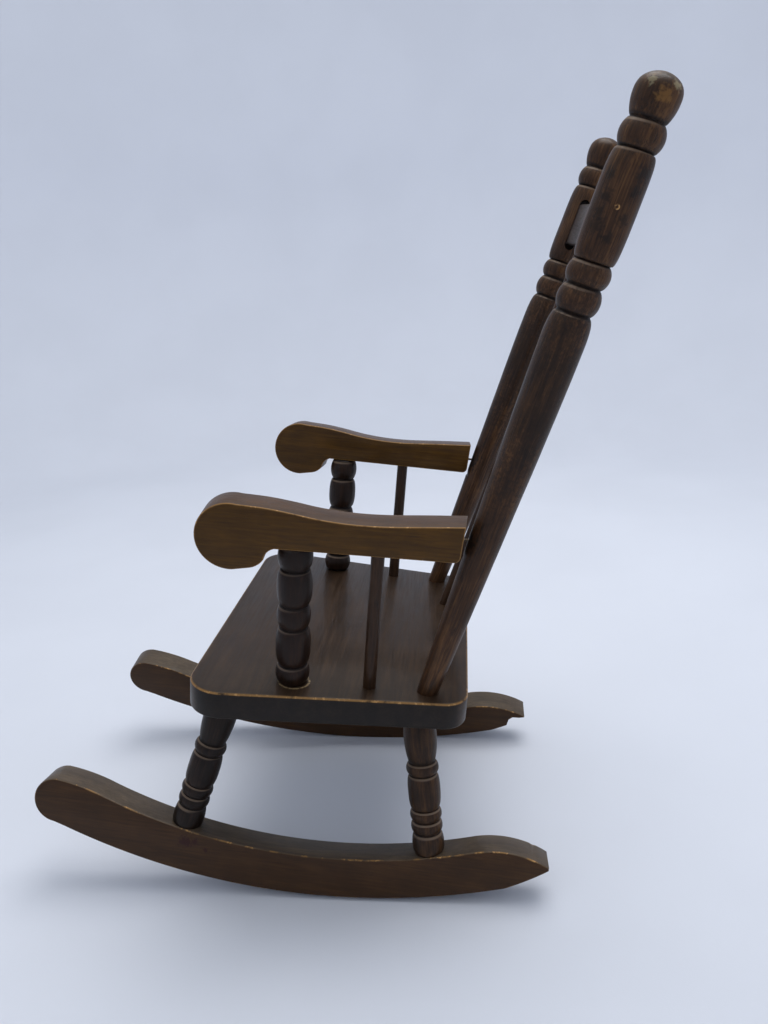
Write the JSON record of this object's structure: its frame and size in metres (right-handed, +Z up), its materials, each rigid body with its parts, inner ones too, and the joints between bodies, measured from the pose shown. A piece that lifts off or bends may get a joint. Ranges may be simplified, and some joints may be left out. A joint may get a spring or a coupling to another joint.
{
  "type": "miniature rocking chair",
  "caption": "Doll-size wooden rocking chair with turned legs and posts, scrolled arms, a spindle back and curved rockers.",
  "frame": {"origin": "middle of the chair's footprint box, on the level its rockers stand on", "axes": "+Z up, the sitter faces -Y, the sitter's left is +X; the chair leans back as it does when it stands empty"},
  "size_m": [0.1892, 0.3223, 0.3774],
  "materials": {
    "walnut_stain": "semi-gloss varnish over walnut stain",
    "amber_stain": "semi-gloss varnish over amber brown stain",
    "dark_stain": "semi-gloss varnish over dark brown stain",
    "steel": "dull"
  },
  "bodies": {
    "root": {"seat_board": "walnut_stain", "rocker_left": "walnut_stain", "rocker_right": "walnut_stain", "leg_front_left": "dark_stain", "leg_front_right": "dark_stain", "leg_rear_left": "dark_stain", "leg_rear_right": "dark_stain", "arm_post_left": "dark_stain", "arm_post_right": "dark_stain", "arm_spindle_left": "dark_stain", "arm_spindle_right": "dark_stain", "armrest_left": "amber_stain", "armrest_right": "amber_stain", "back_post_left": "dark_stain", "back_post_right": "dark_stain", "crest_rail": "dark_stain", "back_spindle_left": "dark_stain", "back_spindle_middle": "dark_stain", "back_spindle_right": "dark_stain", "crest_brad_left": "steel", "crest_brad_right": "steel", "arm_nail_left": "steel", "arm_nail_right": "steel"}
  },
  "joints": []
}
